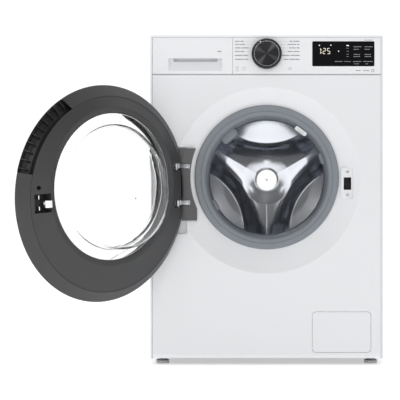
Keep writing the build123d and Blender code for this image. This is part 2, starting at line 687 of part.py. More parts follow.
def door_handle():
    """The ribbed scoop behind the rim that the fingers pull on."""
    scoop = turned(
        [(229.4, -6.5), (231.5, -6.5), (234, -20), (240, -27), (250, -30.5), (RIM_R - 0.8, -28.5),
         (RIM_R - 0.8, -29.2), (256.5, -33.6), (229.4, -33.6)], z=RIM_Z)
    scoop = scoop & handle_sector(200, 300, -60, 10, trim=0.15)
    step = (HANDLE_END - HANDLE_START) / RIB_COUNT
    for i in range(RIB_COUNT):
        rib = turned([(236, -30), (RIM_R - 2, -31), (RIM_R - 2, -26.5), (251, -19), (240, -19)], z=RIM_Z)
        rib = rib & box(230, RIM_R + 5, -40, 0, RIM_Z - 1.3, RIM_Z + 1.3)
        scoop += clock(rib, -(HANDLE_START + step * (i + 0.5)), RIM_Z)
    return scoop


RECESS_X0 = 188.0
RECESS_X1 = 226.0
RECESS_FLOOR = -20.0


def door_inner_frame():
    """The dished inner ring of the door with the hook recess and the glass seat."""
    crease = CREASE_R - 2.5
    face = cone([(crease, RIM_Z, CREASE_DEPTH), (RING_R, DRUM_Z, RING_DEPTH)])
    frame = face - Pos(0, -SKIN, 0) * cone(
        [(crease - 0.5, RIM_Z, CREASE_DEPTH - 1), (crease - 0.5, RIM_Z, CREASE_DEPTH),
         (RING_R, DRUM_Z, RING_DEPTH)])
    frame -= rod_back(0, DRUM_Z, RING_R - 4, -60, 40)
    frame += turned(
        [(GLASS_R, GLASS_DEPTH), (GLASS_R + 3, RING_DEPTH - 1), (RING_R - 3, RING_DEPTH), (RING_R - 3, 6.5),
         (RING_R + 3, 6.5), (RING_R + 3, 3.5), (RING_R - 6, 3.5), (RING_R - 6, -30), (RING_R - 9, -30),
         (RING_R - 9, -14), (GLASS_R, -14)])
    walls = (RECESS_X0 - 4, RECESS_X1 + 3)
    upper = box(*walls, CREASE_DEPTH, CREASE_DEPTH + 12, LATCH_Z - 25, LATCH_Z + 25) & face
    lower = box(*walls, RECESS_FLOOR - 3, CREASE_DEPTH + 0.5, LATCH_Z - 25, LATCH_Z + 25)
    frame += upper + lower
    frame -= box(RECESS_X0, RECESS_X1, RECESS_FLOOR, 30, LATCH_Z - 21.5, LATCH_Z + 21.5)
    frame -= rod_up(HOOK_X, HOOK_PIVOT_DEPTH, 2.45, LATCH_Z - 30, LATCH_Z + 30)
    frame -= rod_back(214, LATCH_Z + 36, 5, -20, 20)
    frame -= hinge_side(-4, -60, 40) & box(-300, 0, -60, 40, RIM_Z - 97, RIM_Z + 97)
    for tool in notch_tool(2.5):
        frame -= tool
    return frame


def bowl_solid(shrink):
    """The body of the bowl: it drops towards its end, so that its upper side slopes."""
    rings = [(152, DRUM_Z, 6), (148, 483, 22), (138, 475, 44), (124, 466.5, 64), (104, 463, 77), (84, 461, 82)]
    return cone([(r - shrink, z, d - shrink * (0.2 if i < len(rings) - 1 else 0.9))
                 for i, (r, z, d) in enumerate(rings)])


def door_glass():
    """The glass bowl with its flange."""
    thick = 4.0
    flange = turned([(146, 1.5), (GLASS_R - 0.4, 1.5), (GLASS_R - 0.4, 5.5), (160, 8), (150, 11), (146, 11)])
    inside = bowl_solid(thick) + rod_back(0, DRUM_Z, 152 - thick, -5, 7)
    return flange + bowl_solid(0) - inside


def door_window():
    """The clear outer window of the door."""
    window = rod_back(0, DRUM_Z, GLASS_R - 2.4, DOOR_FACE - 1.2, DOOR_FACE + 2.6)
    return fillet(window.edges().group_by(Axis.Y)[0], 1.0)


# Gasket and nozzle
LOBES = ((-42.0, 134.0, 24.0), (71.0, 146.5, 17.0), (241.5, 146.5, 17.0))


def gasket():
    """The rubber bellows between the front panel and the tub, with three spray lobes."""
    ring = turned(
        [(159, 19), (163, 15.6), (169, 15), (171, 16.4), (173, 15), (184, 15.6), (187, 18.2), (187, 21.8),
         (177.6, 21.8), (177.6, 33), (173, 33), (173, 24), (164, 22), (160.5, 25), (159.5, 33), (156.5, 60),
         (160, 64), (168.4, 64), (168.4, 69), (157, 69), (152.5, 62), (153, 50), (156, 30), (157, 24)])
    for angle, inner, half_width in LOBES:
        lobe = box(-half_width, half_width, 42, 66, DRUM_Z + inner, DRUM_Z + 166)
        lobe = fillet(lobe.edges().filter_by(Axis.Y).group_by(Axis.Z)[0], 9.0)
        lobe = fillet(lobe.edges().group_by(Axis.Y)[0], 6.0)
        lobe -= rod_back(0, DRUM_Z, 120, 30, 70)
        outside = turned([(157.5, 20), (200, 20), (200, 80), (157.5, 80)])
        ring += clock(lobe - outside, angle)
    return ring


NOZZLE_ANGLE = 36.4


def spray_nozzle():
    """The white jet nozzle at the top right of the gasket."""
    body = box(-17, 17, 26, 36, DRUM_Z + 144, DRUM_Z + 154.5)
    body = fillet(body.edges().filter_by(Axis.Y), 3.0)
    body -= box(-9, 9, 25, 31, DRUM_Z + 146.5, DRUM_Z + 149)
    return clock(body, NOZZLE_ANGLE)


# Tub
def tub_front():
    """The front half of the tub."""
    outer = TUB_R + TUB_WALL
    return turned(
        [(169, 60), (172, 60), (172, TUB_FRONT), (outer, TUB_FRONT), (outer, TUB_JOINT - 6),
         (outer + 8, TUB_JOINT - 6), (outer + 8, TUB_JOINT), (TUB_R, TUB_JOINT), (TUB_R, TUB_FRONT + TUB_WALL),
         (169, TUB_FRONT + TUB_WALL)])


BEARING_BORE = 31.0
SHAFT_R = 15.0


def tub_rear():
    """The rear half of the tub with ribs and the bearing housing."""
    outer = TUB_R + TUB_WALL
    half = turned(
        [(BEARING_BORE, TUB_BACK), (TUB_R, TUB_BACK), (TUB_R, TUB_JOINT + 0.2), (outer + 8, TUB_JOINT + 0.2),
         (outer + 8, TUB_JOINT + 6), (outer, TUB_JOINT + 6), (outer, TUB_BACK + 5), (46, TUB_BACK + 5),
         (46, 490), (BEARING_BORE, 490)])
    for i in range(12):
        rib = box(-1.5, 1.5, TUB_BACK + 4, TUB_BACK + 12, DRUM_Z + 45, DRUM_Z + TUB_R)
        half += clock(rib, i * 30)
    for x in (-30, 30):
        half -= rod_back(x, DRUM_Z - 249.5, 4.2, TUB_BACK - 5, TUB_BACK + 20)
    return half


def bearings():
    """The front and rear bearings as rings with a shield groove."""
    rings = []
    for d0, d1 in ((449, 463), (474, 488)):
        front = [(SHAFT_R, d0), (19, d0), (19.5, d0 + 1.2), (26.5, d0 + 1.2), (27, d0), (BEARING_BORE, d0)]
        back = [(BEARING_BORE, d1), (27, d1), (26.5, d1 - 1.2), (19.5, d1 - 1.2), (19, d1), (SHAFT_R, d1)]
        rings.append(turned(front + back))
    return rings


def counterweight_front():
    """The concrete horseshoe round the gasket."""
    ring = turned([(196, 44), (256, 44), (256, TUB_FRONT - 0.2), (196, TUB_FRONT - 0.2)])
    return ring - box(-60, 60, 40, 75, 200, DRUM_Z - 150)


def counterweight_top():
    """The concrete block that sits on the tub."""
    block = box(-70, 190, 150, 400, 715, 822)
    block = fillet(block.edges().filter_by(Axis.Z), 12)
    return block - rod_back(0, DRUM_Z, TUB_R + TUB_WALL + 8.2, 100, 500)


def heater():
    """The tubular water heater under the drum."""
    z = DRUM_Z - 249.5
    element = rod_back(-30, z, 4, 120, 470) + rod_back(30, z, 4, 120, 470)
    element += rod_between((-30, 122, z), (30, 122, z), 4)
    return element + box(-44, 44, TUB_BACK + 12.2, TUB_BACK + 16, z - 10, z + 10)


def stator():
    """The wound stator that is bolted to the tub."""
    ring = turned([(62, 462), (84, 462), (84, 488), (62, 488)])
    for i in range(36):
        tooth = box(-4, 4, 462, 488, DRUM_Z + 80, DRUM_Z + 126)
        ring += clock(tooth, i * 10)
    ring += turned([(46.2, 468), (64, 468), (64, 474), (46.2, 474)])
    return ring


def suspension_spring(side, depth):
    """A closely wound spring from a side of the cabinet down to the tub."""
    coils = 16
    pitch = 5.0
    z0 = 655.0
    x = side * 255.0
    points = [(8, z0)]
    for i in range(coils):
        points += [(8.6, z0 + i * pitch), (11, z0 + i * pitch + 1.2), (11, z0 + (i + 1) * pitch - 1.2)]
    points += [(8.6, z0 + coils * pitch), (8, z0 + coils * pitch)]
    outline = make_face(Plane.XZ * Polyline(points, close=True))
    coil = Pos(x, FRONT_Y + depth, 0) * revolve(outline, Axis.Z, 360)
    top = z0 + coils * pitch
    upper = rod_up(x, depth, 8.3, top - 3, top) + rod_up(x, depth, 2.5, top - 1, top + 12)
    upper += rod_between((x - side * 2, depth, top + 10), (side * 296.1, depth, top + 10), 2.5)
    lower = rod_up(x, depth, 8.3, z0, z0 + 3)
    lower += rod_between((x, depth, z0 + 1), (x - side * 40, depth, z0 - 45), 2.5)
    return (coil + upper + lower) - rod_back(0, DRUM_Z, TUB_R + TUB_WALL + 0.1, depth - 30, depth + 30)


def damper(side):
    """A friction damper from the base to the tub."""
    foot = (side * 205.0, 300.0, BASE_Z + 12)
    joint = (side * 178.0, 300.0, 160.0)
    top = (side * 160.0, 300.0, 262.0)
    sleeve = rod_between(foot, joint, 15)
    rod = rod_between(joint, top, 5) - rod_back(0, DRUM_Z, TUB_R + TUB_WALL + 0.1, 250, 350)
    return sleeve + rod


# Drum
POCKET_CENTRE = 310.0
POCKET_R = 242.0
POCKET_FLOOR_R = 198.0
POCKET_FLOOR = 422.0
DRUM_SHEET = 1.2


def drum_shell():
    """The side of the drum."""
    return turned([(DRUM_R - DRUM_SHEET, DRUM_FRONT + 14), (DRUM_R, DRUM_FRONT + 14),
                   (DRUM_R, DRUM_END), (DRUM_R - DRUM_SHEET, DRUM_END)])


def drum_front():
    """The front wall of the drum with its rolled lip."""
    return turned(
        [(LIP_R, DRUM_FRONT - 1), (LIP_R + 2, DRUM_FRONT - 3), (LIP_R + 6, DRUM_FRONT), (DRUM_R - 10, DRUM_FRONT + 2),
         (DRUM_R, DRUM_FRONT + 10), (DRUM_R, DRUM_FRONT + 13.8), (DRUM_R - 2, DRUM_FRONT + 13.8),
         (DRUM_R - 3, DRUM_FRONT + 10), (DRUM_R - 12, DRUM_FRONT + 4), (LIP_R + 5, DRUM_FRONT + 2),
         (LIP_R + 2, DRUM_FRONT + 3), (LIP_R, DRUM_FRONT + 1)])


def back_form(shift):
    """The pressed form of the drum's back: a shallow cone with three round-edged pockets."""
    rim = DRUM_R - DRUM_SHEET - 0.05
    form = turned([(0, 401 + shift), (HUB_R + 2, 401 + shift), (70, 396.5 + shift), (130, 394 + shift),
                   (rim, DRUM_BACK + shift), (rim, DRUM_END + shift), (0, DRUM_END + shift)])
    for i in range(3):
        top = DRUM_Z + POCKET_CENTRE
        pocket = cone([(POCKET_R + 16, top, 380 + shift), (POCKET_R, top, 393 + shift),
                       (POCKET_FLOOR_R, top, POCKET_FLOOR + shift)])
        form -= clock(pocket, i * 120)
    return form


def drum_back():
    """The pressed back of the drum: three proud arms between three pockets."""
    form = back_form(0)
    rim = DRUM_R - DRUM_SHEET - 0.05
    band = turned([(rim - 1.5, DRUM_BACK), (rim, DRUM_BACK), (rim, DRUM_END), (rim - 1.5, DRUM_END)])
    return form - back_form(1.5) + band


def lifter(angle):
    """A paddle on the side of the drum."""
    face = Polyline([(-24, DRUM_Z + DRUM_R), (-20, DRUM_Z + 232), (-9, DRUM_Z + 196), (0, DRUM_Z + 186),
                     (9, DRUM_Z + 196), (20, DRUM_Z + 232), (24, DRUM_Z + DRUM_R)], close=True)
    front = Plane(origin=(0, FRONT_Y + 380, 0), x_dir=(1, 0, 0), z_dir=(0, -1, 0))
    paddle = extrude(front * make_face(face), amount=280)
    room = turned([(0, 100), (DRUM_R - DRUM_SHEET - 0.1, 100), (DRUM_R - DRUM_SHEET - 0.1, 380), (0, 380)])
    return clock(paddle & room, angle)


def hub_cap():
    """The cap over the middle of the drum's back."""
    return turned([(0, 394.5), (2, 395), (HUB_R - 6, 395.4), (HUB_R - 1.5, 397), (HUB_R, 399.5), (HUB_R, 400.9),
                   (0, 400.9)])


def drum_spider():
    """The cast three-armed support behind the drum."""
    hub = turned([(SHAFT_R, 427), (44, 427), (34, 444), (SHAFT_R, 444)])
    for i in range(3):
        arm = box(-14, 14, DRUM_END + 3, 438, DRUM_Z + 30, DRUM_Z + 236)
        arm += box(-14, 14, DRUM_END - 14, DRUM_END + 4, DRUM_Z + 205, DRUM_Z + 236)
        arm = arm - turned([(240.5, 300), (300, 300), (300, 500), (240.5, 500)])
        hub += clock(arm, 60 + 120 * i)
    return hub


def drum_shaft():
    """The stainless shaft."""
    return turned([(0, 427), (SHAFT_R - 0.02, 427), (SHAFT_R - 0.02, 491), (11, 492), (11, 516), (0, 516)])


def rotor():
    """The cup-shaped rotor of the direct drive motor."""
    cup = turned([(11.02, 494), (30, 494), (34, 500), (132, 503), (132, 470), (138, 470), (138, 506), (30, 506),
                  (11.02, 506)])
    return cup


# Drain pump, filter and service flap
FILTER_X = 192.0
FILTER_Z = 84.0


def drain_pump():
    """The pump body with its filter bore, inlet neck and motor."""
    pump = rod_back(FILTER_X, FILTER_Z, 35, 34, 130)
    pump += rod_back(FILTER_X, FILTER_Z, 39, 34, 40)
    pump += rod_between((FILTER_X, 90, FILTER_Z), (FILTER_X - 60, 90, FILTER_Z + 40), 17)
    pump += rod_back(FILTER_X, FILTER_Z, 24, 130, 190)
    pump += rod_up(FILTER_X + 20, 100, 11, FILTER_Z, FILTER_Z + 62)
    return pump - rod_back(FILTER_X, FILTER_Z, 30, 20, 112)


def drain_filter():
    """The screw-in filter with its grip and its comb."""
    cap = rod_back(FILTER_X, FILTER_Z, 33.5, 24, 33.5)
    cap = fillet(cap.edges().group_by(Axis.Y)[0], 2.0)
    cap += box(FILTER_X - 5, FILTER_X + 5, 12, 25, FILTER_Z - 29, FILTER_Z + 29)
    cap += turned([(24, 33), (29.6, 33), (29.6, 46), (24, 46)], z=FILTER_Z, x=FILTER_X)
    cap += rod_back(FILTER_X, FILTER_Z, 3, 33, 104)
    for i in range(6):
        tooth = box(FILTER_X - 1.2, FILTER_X + 1.2, 40, 104, FILTER_Z + 22, FILTER_Z + 27)
        cap += tooth.rotate(Axis((FILTER_X, 0, FILTER_Z), (0, 1, 0)), 60 * i)
    cap += turned([(2.5, 100), (27, 100), (27, 104), (2.5, 104)], z=FILTER_Z, x=FILTER_X)
    return cap


def service_flap():
    """The flap in front of the drain filter, with two pins near its foot."""
    flap = rounded_plate(FLAP_X, FLAP_Z, FLAP_W, FLAP_H, 9.5, 0, 2.5)
    flap = fillet(flap.edges().group_by(Axis.Y)[0], 0.6)
    for side in (-1, 1):
        x0, x1 = sorted(FLAP_X + side * (FLAP_W / 2 + out) for out in (-8, 4.4))
        flap += flap_pin(x0, x1, FLAP_PIN_R)
        x = FLAP_X + side * 50
        flap += box(x - 1, x + 1, 2.4, 7, FLAP_Z - 30, FLAP_Z + 40)
    return flap


# Feet
def foot(x, depth):
    """A levelling foot: pad, hexagon and threaded rod."""
    pad = rod_up(x, depth, FOOT_PAD_R, 0, 9)
    pad = fillet(pad.edges().group_by(Axis.Z)[-1], 2.0)
    hexagon = extrude(Pos(x, FRONT_Y + depth, 9) * RegularPolygon(11, 6), amount=5)
    return pad + hexagon + rod_up(x, depth, FOOT_ROD_R, 13, BASE_Z + 45)


# Write the nodes
save("side_panel_left", side_panel(-1))
save("side_panel_right", side_panel(1))
save("rear_panel", rear_panel())
save("rear_cover", rear_cover())
save("base_pan", base_pan())
save("top_cross_bars", cross_bar(28), cross_bar(DEPTH - 70))
save("worktop", worktop())
save("front_panel", front_panel())
save("control_panel", control_panel())
save("control_board", control_board())
save("display_window", display_window())
save("knob", knob())
save("drawer_front", drawer_front())
save("drawer_tray", drawer_tray())
save("dispenser_housing", dispenser_housing())
save("dispenser_hose", dispenser_hose())
save("inlet_valve", inlet_valve())
save("drain_outlet", drain_outlet())
save("power_gland", power_gland())
save("transit_bolt_caps", *[transit_cap(x, z) for x, z in CAP_PLACES])
save("door_lock", door_lock())
save("case_screws", *case_screws())
save("hinge_bracket", hinge_bracket())
save("hinge_lugs", hinge_lug(LUG_ZS[0], -1), hinge_lug(LUG_ZS[1], 1))
save("hinge_screws", *hinge_screws())
save("gasket", gasket())
save("spray_nozzle", spray_nozzle())
save("tub_front", tub_front())
save("tub_rear", tub_rear())
save("bearings", *bearings())
save("counterweight_front", counterweight_front())
save("counterweight_top", counterweight_top())
save("heater", heater())
save("stator", stator())
save("suspension_springs", *[suspension_spring(side, d) for side in (-1, 1) for d in (130.0, 400.0)])
save("dampers", damper(-1), damper(1))
save("drain_pump", drain_pump())
save("drum_shell", drum_shell())
save("drum_front", drum_front())
save("drum_back", drum_back())
save("lifters", *[lifter(120 * i) for i in range(3)])
save("hub_cap", hub_cap())
save("drum_spider", drum_spider())
save("drum_shaft", drum_shaft())
save("rotor", rotor())
save("door_outer_frame", opened(door_outer_frame()))
save("door_inner_frame", opened(door_inner_frame()))
save("door_glass", opened(door_glass()))
save("door_window", opened(door_window()))
save("door_handle", opened(door_handle()))
save("door_hinge_leaf", opened(door_hinge_leaf()))
save("hinge_pins", *[opened(pin) for pin in hinge_pins()])
save("door_hook", opened(door_hook()))
save("service_flap", service_flap())
save("drain_filter", drain_filter())
for side, x in (("left", -FOOT_X), ("right", FOOT_X)):
    for place, depth in zip(("front", "rear"), FOOT_DEPTHS):
        save(f"foot_{place}_{side}", foot(x, depth))
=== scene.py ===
import json
import math

import bmesh
import bpy
from mathutils import Matrix, Vector


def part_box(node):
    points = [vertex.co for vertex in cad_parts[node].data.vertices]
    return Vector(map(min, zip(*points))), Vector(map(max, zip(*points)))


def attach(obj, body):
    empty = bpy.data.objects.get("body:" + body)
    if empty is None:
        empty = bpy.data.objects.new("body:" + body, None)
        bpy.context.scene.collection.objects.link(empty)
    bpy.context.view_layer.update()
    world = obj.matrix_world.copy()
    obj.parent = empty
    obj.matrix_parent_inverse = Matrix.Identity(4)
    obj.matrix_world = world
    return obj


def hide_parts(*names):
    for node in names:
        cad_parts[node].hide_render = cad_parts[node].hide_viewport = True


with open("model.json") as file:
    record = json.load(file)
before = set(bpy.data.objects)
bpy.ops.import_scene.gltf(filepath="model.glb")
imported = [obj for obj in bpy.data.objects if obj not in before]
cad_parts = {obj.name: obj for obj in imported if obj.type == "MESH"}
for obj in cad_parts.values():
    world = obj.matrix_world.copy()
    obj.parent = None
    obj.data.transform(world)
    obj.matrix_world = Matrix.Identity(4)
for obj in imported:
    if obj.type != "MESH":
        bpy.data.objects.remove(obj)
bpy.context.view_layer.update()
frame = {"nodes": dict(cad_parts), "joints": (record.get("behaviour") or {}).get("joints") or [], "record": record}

# Places on the machine, in metres. A depth is a distance behind the front plane.
MM = 0.001
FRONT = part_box("drawer_front")[0].y
DRUM_Z = 0.485
KNOB_Z = 0.8016

# Sockets of the Mix node, which has a pair of inputs for each kind of value
MIX_FACTOR = 0
MIX_NUMBERS = (2, 3)
MIX_COLOURS = (6, 7)
MIX_COLOUR_OUT = 2


# Material building
def material(name):
    """A new node material: the material, its node tree and its Principled shader."""
    mat = bpy.data.materials.new(name)
    mat.use_nodes = True
    tree = mat.node_tree
    return mat, tree, tree.nodes["Principled BSDF"]


def set_inputs(node, values):
    """Sets unlinked inputs from their names and values."""
    for name, value in values.items():
        node.inputs[name].default_value = value


def add(tree, kind, **values):
    """Adds a node and sets its properties and unlinked inputs by name."""
    node = tree.nodes.new(kind)
    for key, value in values.items():
        if key in node.inputs:
            node.inputs[key].default_value = value
        else:
            setattr(node, key, value)
    return node


def object_coords(tree, stretch=(1, 1, 1)):
    """Object coordinates in metres, stretched per axis."""
    coords = add(tree, "ShaderNodeTexCoord")
    mapping = add(tree, "ShaderNodeMapping", Scale=stretch)
    tree.links.new(coords.outputs["Object"], mapping.inputs["Vector"])
    return mapping.outputs["Vector"]


def noise(tree, coords, scale, detail=3.0, rough=0.5):
    """Smooth noise, most of it between 0.3 and 0.7."""
    node = add(tree, "ShaderNodeTexNoise", Scale=scale, Detail=detail, Roughness=rough)
    tree.links.new(coords, node.inputs["Vector"])
    return node.outputs["Fac"]


def ramp(tree, factor, low, high, from_low=0.3, from_high=0.7):
    """Maps a factor to a range of numbers."""
    node = add(tree, "ShaderNodeMapRange")
    set_inputs(node, {"From Min": from_low, "From Max": from_high, "To Min": low, "To Max": high})
    tree.links.new(factor, node.inputs["Value"])
    return node.outputs["Result"]


def blend_colours(tree, factor, first, second):
    """A colour that goes from the first to the second with the factor."""
    node = add(tree, "ShaderNodeMix", data_type="RGBA")
    for socket, colour in zip(MIX_COLOURS, (first, second)):
        node.inputs[socket].default_value = (*colour, 1)
    tree.links.new(factor, node.inputs[MIX_FACTOR])
    return node.outputs[MIX_COLOUR_OUT]


def tint(colour, share):
    """A colour made darker or lighter by a share, up to full white."""
    return tuple(min(1.0, c * share) for c in colour)


def vary_colour(tree, shader, factor, colour, spread):
    """A base colour that wanders by a share either side of the given one."""
    varied = blend_colours(tree, factor, tint(colour, 1 - spread), tint(colour, 1 + spread))
    tree.links.new(varied, shader.inputs["Base Color"])


def vary_gloss(tree, shader, factor, low, high):
    """A roughness that wanders between two values."""
    tree.links.new(ramp(tree, factor, low, high), shader.inputs["Roughness"])


def add_bump(tree, shader, heights, distance):
    """Fine relief of the given depth in metres."""
    bump = add(tree, "ShaderNodeBump", Strength=1.0, Distance=distance)
    tree.links.new(heights, bump.inputs["Height"])
    tree.links.new(bump.outputs["Normal"], shader.inputs["Normal"])


def moulded(name, colour, rough, grain_scale, grain_depth, spread=0.06):
    """Moulded plastic: fine spark-eroded grain, slight tone changes and uneven gloss."""
    mat, tree, shader = material(name)
    coords = object_coords(tree)
    grain = noise(tree, coords, grain_scale, detail=2.0)
    tone = noise(tree, coords, scale=14.0, detail=4.0)
    vary_colour(tree, shader, tone, colour, spread)
    vary_gloss(tree, shader, grain, rough - 0.05, rough + 0.05)
    add_bump(tree, shader, grain, grain_depth)
    return mat


def enamel(name, colour, rough=0.3, coat=0.25, specular=0.5):
    """Baked enamel: a faint orange peel under a clear gloss."""
    mat, tree, shader = material(name)
    coords = object_coords(tree)
    tone = noise(tree, coords, scale=3.0, detail=3.0)
    peel = noise(tree, coords, scale=420.0, detail=2.0)
    vary_colour(tree, shader, tone, colour, spread=0.008)
    vary_gloss(tree, shader, tone, rough - 0.02, rough + 0.02)
    set_inputs(shader, {"Coat Weight": coat, "Coat Roughness": 0.12, "Specular IOR Level": specular})
    add_bump(tree, shader, peel, distance=0.000004)
    return mat


def metal(name, colour, rough, brush=(1, 1, 1), brush_scale=900.0, brush_depth=0.000006, spread=0.05):
    """Metal with fine brushed or rolled lines; brush stretches them along an axis."""
    mat, tree, shader = material(name)
    lines = noise(tree, object_coords(tree, brush), brush_scale, detail=2.0)
    tone = noise(tree, object_coords(tree), scale=9.0, detail=3.0)
    vary_colour(tree, shader, tone, colour, spread)
    vary_gloss(tree, shader, lines, rough - 0.03, rough + 0.04)
    set_inputs(shader, {"Metallic": 1.0})
    add_bump(tree, shader, lines, brush_depth)
    return mat


def clear_glass(name, colour, ior):
    """Clear glass that lets lamplight through, so that it doesn't darken what is behind."""
    mat, tree, shader = material(name)
    glass = {"Base Color": (*colour, 1), "Roughness": 0.0, "IOR": ior, "Transmission Weight": 1.0}
    set_inputs(shader, glass)
    waves = noise(tree, object_coords(tree), scale=6.0, detail=1.0)
    add_bump(tree, shader, waves, distance=0.00005)
    clear = add(tree, "ShaderNodeBsdfTransparent")
    path = add(tree, "ShaderNodeLightPath")
    mix = add(tree, "ShaderNodeMixShader")
    tree.links.new(path.outputs["Is Shadow Ray"], mix.inputs[0])
    tree.links.new(shader.outputs[0], mix.inputs[1])
    tree.links.new(clear.outputs[0], mix.inputs[2])
    tree.links.new(mix.outputs[0], tree.nodes["Material Output"].inputs["Surface"])
    return mat


def concrete(name):
    """Cast concrete with pits and darker and lighter stones."""
    mat, tree, shader = material(name)
    coords = object_coords(tree)
    stones = noise(tree, coords, scale=60.0, detail=8.0, rough=0.65)
    pits = add(tree, "ShaderNodeTexVoronoi", Scale=160.0)
    tree.links.new(coords, pits.inputs["Vector"])
    mixed = blend_colours(tree, stones, (0.26, 0.25, 0.24), (0.46, 0.45, 0.43))
    tree.links.new(mixed, shader.inputs["Base Color"])
    set_inputs(shader, {"Roughness": 0.9})
    add_bump(tree, shader, pits.outputs["Distance"], distance=0.0008)
    return mat


def glowing(name, colour, strength):
    """A lit segment or lamp behind the display window, and also the painted glow given to the knob's white
    pointer.
    """
    mat, tree, shader = material(name)
    uneven = noise(tree, object_coords(tree), scale=300.0)
    level = ramp(tree, uneven, low=strength * 0.92, high=strength * 1.08)
    lit = {"Base Color": (*tint(colour, 0.3), 1), "Emission Color": (*colour, 1), "Roughness": 0.4}
    set_inputs(shader, lit)
    tree.links.new(level, shader.inputs["Emission Strength"])
    return mat


# Painted highlights of a spun face: where its painted glint spots lie round the circle, from 0 to 1, and how
# strong they are
PAINTED_GLINTS = (
    (0.08, 0.1), (0.14, 0.9), (0.20, 0.1), (0.36, 0.05), (0.42, 0.6), (0.48, 0.1),
    (0.58, 0.1), (0.64, 1.0), (0.70, 0.1), (0.86, 0.05), (0.92, 0.5),
)
# The painted highlight level where the fan of painted glint spots meets itself
PAINTED_GLINT_SEAM = 0.1


def spun_metal_with_painted_glints(name, dark, bright, centre):
    """Dark metal turned on a lathe: its circular lines as bumps, and the fan of glint highlights that they give
    painted into the base colour.
    """
    mat, tree, shader = material(name)
    shift = add(tree, "ShaderNodeVectorMath", operation="SUBTRACT")
    shift.inputs[1].default_value = centre
    tree.links.new(object_coords(tree), shift.inputs[0])
    upright = add(tree, "ShaderNodeMapping", Rotation=(-math.pi / 2, 0, 0))
    tree.links.new(shift.outputs[0], upright.inputs["Vector"])
    fan = add(tree, "ShaderNodeTexGradient", gradient_type="RADIAL")
    tree.links.new(upright.outputs[0], fan.inputs["Vector"])
    # Painted highlights: lighter and darker sectors round the middle, painted into the base colour
    painted_glints = add(tree, "ShaderNodeValToRGB")
    painted_glints.color_ramp.interpolation = "EASE"
    stops = painted_glints.color_ramp.elements
    for place, level in PAINTED_GLINTS:
        stops.new(place).color = (level, level, level, 1)
    for seam in (stops[0], stops[-1]):
        seam.color = (PAINTED_GLINT_SEAM, PAINTED_GLINT_SEAM, PAINTED_GLINT_SEAM, 1)
    tree.links.new(fan.outputs["Fac"], painted_glints.inputs[0])
    # The base colour runs from dark to bright through the painted highlights; bright is their painted colour
    painted_shine = blend_colours(tree, painted_glints.outputs["Color"], dark, bright)
    tree.links.new(painted_shine, shader.inputs["Base Color"])
    rings = add(tree, "ShaderNodeTexWave", wave_type="RINGS", rings_direction="Z",
                Scale=160.0, Distortion=0.6, Detail=3.0)
    tree.links.new(upright.outputs[0], rings.inputs["Vector"])
    set_inputs(shader, {"Metallic": 0.6, "Roughness": 0.35})
    add_bump(tree, shader, rings.outputs["Fac"], distance=0.00001)
    return mat


# The finish of each material slot in the record
LOOKS = {
    "white_steel": enamel("white_enamel", (0.80, 0.81, 0.83)),
    "white_plastic": moulded("white_plastic", (0.81, 0.82, 0.84), 0.34, 1500.0, 0.000008, spread=0.006),
    "zinc_steel": metal("zinc_steel", (0.55, 0.57, 0.59), 0.38, brush=(1, 1, 0.05)),
    "polished_steel": metal(
        "polished_steel", (0.74, 0.76, 0.81), 0.12, brush=(1, 0.04, 1), brush_depth=0.000002),
    "stainless": metal("stainless", (0.66, 0.67, 0.69), 0.24),
    "screw_steel": metal("screw_steel", (0.85, 0.85, 0.86), 0.18),
    "cast_aluminium": metal(
        "cast_aluminium", (0.60, 0.61, 0.63), 0.45, brush_scale=240.0, brush_depth=0.00006),
    "gasket_rubber": moulded("gasket_rubber", (0.215, 0.235, 0.26), 0.48, 700.0, 0.00001),
    "door_grey": moulded("door_grey", (0.042, 0.042, 0.044), 0.46, 1300.0, 0.000015),
    "black_plastic": moulded("black_plastic", (0.012, 0.012, 0.013), 0.4, 1100.0, 0.00002),
    "hinge_grey": moulded("hinge_grey", (0.11, 0.11, 0.114), 0.5, 1200.0, 0.00002),
    "foot_grey": moulded("foot_grey", (0.50, 0.50, 0.51), 0.5, 900.0, 0.00003),
    "clear_glass": clear_glass("clear_glass", (0.985, 0.99, 0.99), 1.16),
    "clear_window": clear_glass("clear_window", (0.99, 0.99, 0.99), 1.3),
    "black_window": enamel("black_window", (0.004, 0.004, 0.005), rough=0.1, coat=0.1, specular=0.35),
    "knob_black": moulded("knob_black", (0.008, 0.008, 0.009), 0.3, 1400.0, 0.000006),
    "tray_plastic": moulded("tray_plastic", (0.66, 0.69, 0.72), 0.35, 800.0, 0.00001),
    "tub_plastic": moulded("tub_plastic", (0.50, 0.51, 0.51), 0.6, 500.0, 0.00005),
    "concrete": concrete("concrete"),
    "board_green": moulded("board_green", (0.02, 0.12, 0.05), 0.35, 700.0, 0.00003),
    "copper_winding": metal("copper_winding", (0.60, 0.26, 0.11), 0.35, brush_scale=1500.0),
    "spring_steel": metal("spring_steel", (0.32, 0.33, 0.35), 0.35),
    "rotor_steel": metal("rotor_steel", (0.52, 0.53, 0.54), 0.3),
    "white_nozzle": moulded("white_nozzle", (0.80, 0.81, 0.82), 0.35, 900.0, 0.00001),
}


def dress_frame():
    """Gives every CAD node the finish of its slot in the record."""
    for row in frame["record"]["subparts"]:
        node = frame["nodes"][row["node"]]
        node.data.materials.clear()
        node.data.materials.append(LOOKS[row["material_slot"]])


